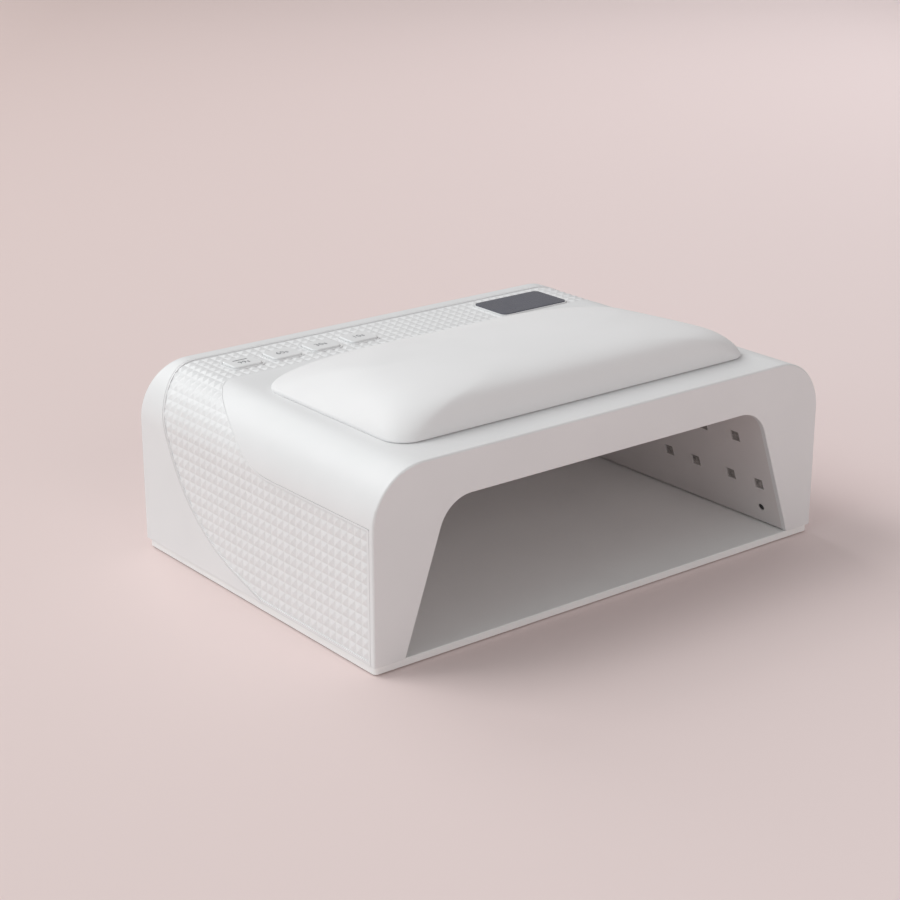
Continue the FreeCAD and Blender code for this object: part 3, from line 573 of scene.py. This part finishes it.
def cushion(material):
    """Padded hand rest without hard edges: steep in front, a long slope to the back, a tucked-in foot."""
    heights, sides, fronts, backs = zip(*CUSHION_LEVELS)
    index = np.arange(len(heights), dtype=float)
    points, faces = [], []
    levels = [k / CUSHION_BETWEEN for k in range((len(heights) - 1) * CUSHION_BETWEEN + 1)]
    for at in levels:
        height, side, front, back = (smooth_through(index, v, at) for v in (heights, sides, fronts, backs))
        for x, y in cushion_ring(height, side, front, back):
            along = (y - CUSHION_FRONT) / (CUSHION_BACK - CUSHION_FRONT)
            over_rim = max(height - CUSHION_RIM, 0.0)
            narrow = 1.0 - CUSHION_TAPER * over_rim * along ** CUSHION_TAPER_POWER / CUSHION_HALF
            points.append((x * narrow, y, TOP + height))
    count = len(points) // len(levels)
    for level in range(len(levels) - 1):
        for k in range(count):
            a, b = level * count + k, level * count + (k + 1) % count
            faces.append([a, b, b + count, a + count])
    faces.append(list(range(count))[::-1])
    faces.append([(len(levels) - 1) * count + k for k in range(count)])
    piece = make_piece("hand_rest_cushion", points, faces, "lamp", material)
    piece.data.shade_smooth()
    return piece


# ---------------------------------------------------------------- materials

class Shader:
    """Small helper to wire a Principled material from its object coordinates."""

    def __init__(self, name, colour, roughness, **values):
        self.material = bpy.data.materials.new(name)
        self.material.use_nodes = True
        self.tree = self.material.node_tree
        self.bsdf = self.tree.nodes["Principled BSDF"]
        self.colour = colour
        self.bsdf.inputs["Base Color"].default_value = (*colour, 1.0)
        self.bsdf.inputs["Roughness"].default_value = roughness
        for socket, value in values.items():
            self.bsdf.inputs[socket.replace("_", " ")].default_value = value
        self.coordinates = self.node("ShaderNodeTexCoord").outputs["Object"]
        self.normal = None

    def node(self, kind, **settings):
        made = self.tree.nodes.new(kind)
        for name, value in settings.items():
            setattr(made, name, value)
        return made

    def link(self, out, to):
        self.tree.links.new(out, to)

    def noise(self, scale, detail=2.0, rough=0.5, stretch=None):
        where = self.coordinates
        if stretch:
            mapping = self.node("ShaderNodeMapping")
            mapping.inputs["Scale"].default_value = stretch
            self.link(where, mapping.inputs["Vector"])
            where = mapping.outputs["Vector"]
        made = self.node("ShaderNodeTexNoise")
        made.inputs["Scale"].default_value = scale
        made.inputs["Detail"].default_value = detail
        made.inputs["Roughness"].default_value = rough
        self.link(where, made.inputs["Vector"])
        return made.outputs["Fac"]

    def cells(self, scale, feature="F1"):
        made = self.node("ShaderNodeTexVoronoi", feature=feature)
        made.inputs["Scale"].default_value = scale
        self.link(self.coordinates, made.inputs["Vector"])
        return made.outputs["Distance"]

    def range(self, value, low, high, start=0.3, end=0.7):
        made = self.node("ShaderNodeMapRange")
        for socket, number in (("From Min", start), ("From Max", end), ("To Min", low), ("To Max", high)):
            made.inputs[socket].default_value = number
        self.link(value, made.inputs["Value"])
        return made.outputs["Result"]

    def vary_colour(self, value, other, start=0.3, end=0.7):
        mix = self.node("ShaderNodeMix", data_type="RGBA")
        mix.inputs["A"].default_value = (*self.colour, 1.0)
        mix.inputs["B"].default_value = (*other, 1.0)
        self.link(self.range(value, 0.0, 1.0, start, end), mix.inputs["Factor"])
        self.link(mix.outputs["Result"], self.bsdf.inputs["Base Color"])

    def vary_roughness(self, value, low, high):
        self.link(self.range(value, low, high), self.bsdf.inputs["Roughness"])

    def bump(self, value, strength, distance):
        made = self.node("ShaderNodeBump")
        made.inputs["Strength"].default_value = strength
        made.inputs["Distance"].default_value = distance
        self.link(value, made.inputs["Height"])
        if self.normal is not None:
            self.link(self.normal, made.inputs["Normal"])
        self.normal = made.outputs["Normal"]
        self.link(self.normal, self.bsdf.inputs["Normal"])


def shade(colour, share):
    return tuple(c * share for c in colour)


def plastic(name, colour, roughness=0.42, grain=1600.0, depth=0.25, specular=0.45, mottle=0.97):
    """Moulded plastic: fine spark-eroded grain, faint cloudiness in the colour and the gloss."""
    made = Shader(name, colour, roughness, Specular_IOR_Level=specular)
    cloud = made.noise(22.0, 3.0)
    made.vary_colour(cloud, shade(colour, mottle))
    made.vary_roughness(made.noise(60.0, 3.0), roughness - 0.04, roughness + 0.05)
    made.bump(made.noise(grain, 2.0, 0.6), depth, 0.00002)
    return made.material


WHITE = (0.83, 0.825, 0.83)
shell_white = plastic("shell_white", WHITE)
base_white = plastic("base_white", (0.93, 0.93, 0.925), 0.40)
liner_grey = plastic("liner_grey", (0.76, 0.72, 0.715), 0.38)
key_white = plastic("key_white", (0.84, 0.835, 0.84), 0.36, grain=2600.0, depth=0.15)
tray_grey = plastic("tray_grey", (0.35, 0.35, 0.36), 0.5)
black_part = plastic("black_part", (0.02, 0.02, 0.022), 0.45, mottle=0.7)
rubber_dark = plastic("rubber_dark", (0.16, 0.16, 0.165), 0.72, grain=900.0, depth=0.5, specular=0.3)
foam_cream = plastic("foam_cream", (0.72, 0.68, 0.55), 0.9, grain=1400.0, depth=0.8, specular=0.2)


def soft_leather():
    """Matte synthetic leather: small pebbles, a little sheen, faint cloudiness."""
    colour = (0.87, 0.858, 0.862)
    made = Shader("soft_leather", colour, 0.55, Specular_IOR_Level=0.35, Sheen_Weight=0.12,
                  Sheen_Roughness=0.5)
    made.vary_colour(made.noise(14.0, 3.0), shade(colour, 0.975))
    made.vary_roughness(made.noise(45.0, 2.0), 0.50, 0.62)
    made.bump(made.cells(1500.0), 0.12, 0.00006)
    made.bump(made.noise(320.0, 3.0), 0.08, 0.00010)
    return made.material


def metal(name, colour, roughness, scratches):
    made = Shader(name, colour, roughness, Metallic=1.0)
    made.vary_roughness(made.noise(90.0, 3.0), roughness - 0.06, roughness + 0.08)
    made.vary_colour(made.noise(50.0, 2.0), shade(colour, 0.85))
    made.bump(made.noise(500.0, 2.0, 0.5, scratches), 0.15, 0.00002)
    return made.material


def circuit_board(name, colour, track):
    """Lacquered board: slightly lighter copper tracks under the colour."""
    made = Shader(name, colour, 0.35, Coat_Weight=0.3)
    made.vary_colour(made.cells(260.0, "DISTANCE_TO_EDGE"), track, 0.0, 0.06)
    made.vary_roughness(made.noise(120.0, 2.0), 0.30, 0.42)
    made.bump(made.cells(260.0, "DISTANCE_TO_EDGE"), 0.2, 0.00003)
    return made.material


def lamp_bead_painted_shade():
    """Milky lens of an ultraviolet lamp bead, coloured darker than the lens itself as painted shade of its
    recessed window.
    """
    # Dark grey base colour: painted shade of the recessed window over the lens's own pale milky tone
    made = Shader("lamp_bead_painted_shade", (0.40, 0.37, 0.35), 0.22, Specular_IOR_Level=0.6, Coat_Weight=0.4)
    made.vary_colour(made.noise(420.0, 2.0), (0.16, 0.145, 0.14))
    made.vary_roughness(made.noise(240.0, 2.0), 0.16, 0.30)
    made.bump(made.noise(900.0, 2.0), 0.1, 0.00003)
    return made.material


def smoked_window():
    """Dark tinted acrylic with a hard, slightly glossy face."""
    made = Shader("smoked_window", (0.074, 0.076, 0.106), 0.28, Specular_IOR_Level=0.5, Coat_Weight=0.3)
    made.bsdf.inputs["Coat Roughness"].default_value = 0.12
    made.vary_colour(made.noise(30.0, 2.0), (0.072, 0.073, 0.097))
    made.vary_roughness(made.noise(150.0, 3.0), 0.24, 0.34)
    made.bump(made.noise(2400.0, 2.0), 0.05, 0.00001)
    return made.material


steel = metal("zinc_steel", (0.62, 0.62, 0.60), 0.32, (1, 1, 6))
magnet_nickel = metal("magnet_nickel", (0.70, 0.69, 0.67), 0.25, (1, 6, 1))
contact_brass = metal("contact_brass", (0.78, 0.62, 0.34), 0.28, (1, 6, 1))
SLOTS = {
    "shell_plastic": shell_white,
    "base_plastic": base_white,
    "liner_plastic": liner_grey,
    "key_plastic": key_white,
    "cushion_leather": soft_leather(),
    "foam": foam_cream,
    "tray_plastic": tray_grey,
    "smoked_window": smoked_window(),
    "board": circuit_board("control_board", (0.02, 0.16, 0.07), (0.05, 0.24, 0.11)),
    "bead_board": circuit_board("bead_board", (0.70, 0.70, 0.68), (0.60, 0.60, 0.58)),
    "bead": lamp_bead_painted_shade(),
    "black_part": black_part,
    "steel": steel,
    "magnet": magnet_nickel,
    "contact": contact_brass,
    "rubber": rubber_dark,
    "lead": plastic("lead_sleeve", (0.45, 0.05, 0.04), 0.5, grain=500.0),
}
for node in NODES.values():
    for place in range(len(node.material_slots)):
        node.material_slots[place].material = SLOTS[node.material_slots[place].material.name.split(".")[0]]


# ---------------------------------------------------------------- pieces

band = textured_band(shell_white)
weigh = band.modifiers.new("weigh", "WEIGHTED_NORMAL")
weigh.keep_sharp = True
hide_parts("middle_shell")

pad = cushion(SLOTS["cushion_leather"])
finer = pad.modifiers.new("finer", "SUBSURF")
finer.levels = finer.render_levels = 1
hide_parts("cushion_cover", "cushion_foam")


KEY_TOP = 97.9
PRINT_THICK = 0.03
FIGURE_SPACING = 1.05
FIGURE_HEIGHT = 5.0
LOW_FIGURE_HEIGHT, LOW_FIGURE_DROP = 4.6, 1.6
BAR_WIDTH, BAR_DEPTH, BAR_SHIFT = 8.5, 0.8, 2.6
key_ink = plastic("key_ink", (0.25, 0.25, 0.26), 0.6, mottle=0.8)


def figure(x, y, words, height):
    """Points and faces of a flat figure that lies on a key."""
    data = bpy.data.curves.new("figure", "FONT")
    data.body, data.size, data.extrude = words, height * MM, PRINT_THICK * MM
    data.align_x, data.align_y, data.space_character = "CENTER", "CENTER", FIGURE_SPACING
    text = bpy.data.objects.new("figure", data)
    bpy.context.scene.collection.objects.link(text)
    evaluated = text.evaluated_get(bpy.context.evaluated_depsgraph_get())
    mesh = bpy.data.meshes.new_from_object(evaluated)
    bpy.data.objects.remove(text)
    z = KEY_TOP + PRINT_THICK
    points = [(v.co.x / MM + x, v.co.y / MM + y, v.co.z / MM + z) for v in mesh.vertices]
    return points, [list(f.vertices) for f in mesh.polygons]


def print_on_key(number, words, with_bar=False):
    """Grey timer figure on a key; with a short bar over it, the figure is lower and smaller."""
    x = KEY_X[number - 1]
    drop, height = (LOW_FIGURE_DROP, LOW_FIGURE_HEIGHT) if with_bar else (0.0, FIGURE_HEIGHT)
    points, faces = figure(x, KEY_Y - drop, words, height)
    if with_bar:
        y = KEY_Y + BAR_SHIFT
        corners, sides = box(
            (x - BAR_WIDTH / 2, y - BAR_DEPTH / 2, KEY_TOP),
            (x + BAR_WIDTH / 2, y + BAR_DEPTH / 2, KEY_TOP + 2 * PRINT_THICK),
        )
        faces += [[len(points) + k for k in side] for side in sides]
        points += corners
    make_piece(f"key_print_{number}", points, faces, f"key_{number}", key_ink)


print_on_key(1, "99s", with_bar=True)
print_on_key(2, "60s")
print_on_key(3, "30s")
print_on_key(4, "10s")


# ---------------------------------------------------------------- floor, light and camera

FLOOR_HALF = 12.0
# Painted light on the floor: a painted shade colour at the back left blends into a painted lit colour at the
# front right
FLOOR_PAINTED_SHADE = (0.71, 0.575, 0.55)
FLOOR_PAINTED_LIT = (0.95, 0.81, 0.80)
FLOOR_PAINTED_LIGHT_DIRECTION = (1.0, -0.8, 0.0)
FLOOR_PAINTED_LIGHT_RANGE = (-0.75, 0.65)


def floor():
    """Pale rose studio floor with painted light: painted shade towards the back left, lighter towards the
    front right.
    """
    made = Shader("studio_floor", FLOOR_PAINTED_SHADE, 0.85, Specular_IOR_Level=0.2)
    across = made.node("ShaderNodeVectorMath", operation="DOT_PRODUCT")
    across.inputs[1].default_value = FLOOR_PAINTED_LIGHT_DIRECTION
    made.link(made.coordinates, across.inputs[0])
    made.vary_colour(across.outputs["Value"], FLOOR_PAINTED_LIT, *FLOOR_PAINTED_LIGHT_RANGE)
    made.bump(made.noise(900.0, 2.0), 0.05, 0.0001)
    mesh = bpy.data.meshes.new("studio_floor")
    corners = [(x * FLOOR_HALF, y * FLOOR_HALF, 0.0) for x, y in ((-1, -1), (1, -1), (1, 1), (-1, 1))]
    mesh.from_pydata(corners, [], [(0, 1, 2, 3)])
    mesh.materials.append(made.material)
    plane = bpy.data.objects.new("studio_floor", mesh)
    bpy.context.scene.collection.objects.link(plane)


def soft_light(name, place, target, size, power, colour, spread):
    """Square soft box that faces a point; a narrow spread stands for its grid."""
    data = bpy.data.lights.new(name, "AREA")
    data.spread = math.radians(spread)
    data.shape, data.size, data.energy, data.color = "SQUARE", size, power, colour
    lamp = bpy.data.objects.new(name, data)
    bpy.context.scene.collection.objects.link(lamp)
    lamp.location = place
    toward = np.array(target, float) - np.array(place, float)
    flat = math.hypot(toward[0], toward[1])
    lamp.rotation_euler = (math.atan2(flat, -toward[2]), 0.0, math.atan2(toward[1], toward[0]) - math.pi / 2)


WORLD_COLOUR = (1.0, 0.985, 0.98, 1.0)
WORLD_LIGHT = 0.35
LAMP_MIDDLE = (0.0, 0.0, 0.05)
FLOOR_RIGHT = (1.5, 0.7, 0.0)
NEUTRAL, COOL, WARM = (1.0, 1.0, 1.0), (0.78, 0.98, 1.0), (1.0, 0.95, 0.94)
LIGHTS = (
    # name, place, target, size, power in watts, colour, spread in degrees
    ("key_light", (-1.45, 1.35, 2.25), LAMP_MIDDLE, 1.6, 37.0, NEUTRAL, 180.0),
    ("back_light", (0.0, 2.7, 1.75), LAMP_MIDDLE, 1.8, 20.0, NEUTRAL, 180.0),
    ("left_light", (-2.6, 0.2, 1.3), LAMP_MIDDLE, 2.2, 16.5, COOL, 180.0),
    ("front_fill", (-0.4, -2.8, 1.2), LAMP_MIDDLE, 1.6, 13.5, WARM, 180.0),
    ("floor_wash", (2.0, 1.0, 2.2), FLOOR_RIGHT, 1.0, 1.4, (1.0, 0.98, 1.0), 60.0),
)

# Sensor width and focal length in mm, near and far limits in metres, tilt and turn in degrees
SENSOR, LENS = 36.0, 81.97
CLIP = (0.05, 60.0)
CAMERA_PLACE = (-0.62558, -0.76799, 0.40394)
CAMERA_DOWN, CAMERA_ROUND = 19.7156, -38.2224


def studio():
    """Even world light, and the soft boxes."""
    world = bpy.data.worlds.new("studio")
    world.use_nodes = True
    world.node_tree.nodes["Background"].inputs["Color"].default_value = WORLD_COLOUR
    world.node_tree.nodes["Background"].inputs["Strength"].default_value = WORLD_LIGHT
    scene = bpy.context.scene
    scene.world = world
    scene.view_settings.view_transform = "Standard"
    for light in LIGHTS:
        soft_light(*light)


def camera():
    """Camera of the main view."""
    data = bpy.data.cameras.new("photo_camera")
    data.sensor_width, data.lens = SENSOR, LENS
    data.clip_start, data.clip_end = CLIP
    view = bpy.data.objects.new("photo_camera", data)
    bpy.context.scene.collection.objects.link(view)
    view.location = CAMERA_PLACE
    view.rotation_euler = (math.radians(90 - CAMERA_DOWN), 0.0, math.radians(CAMERA_ROUND))
    bpy.context.scene.camera = view


floor()
studio()
camera()
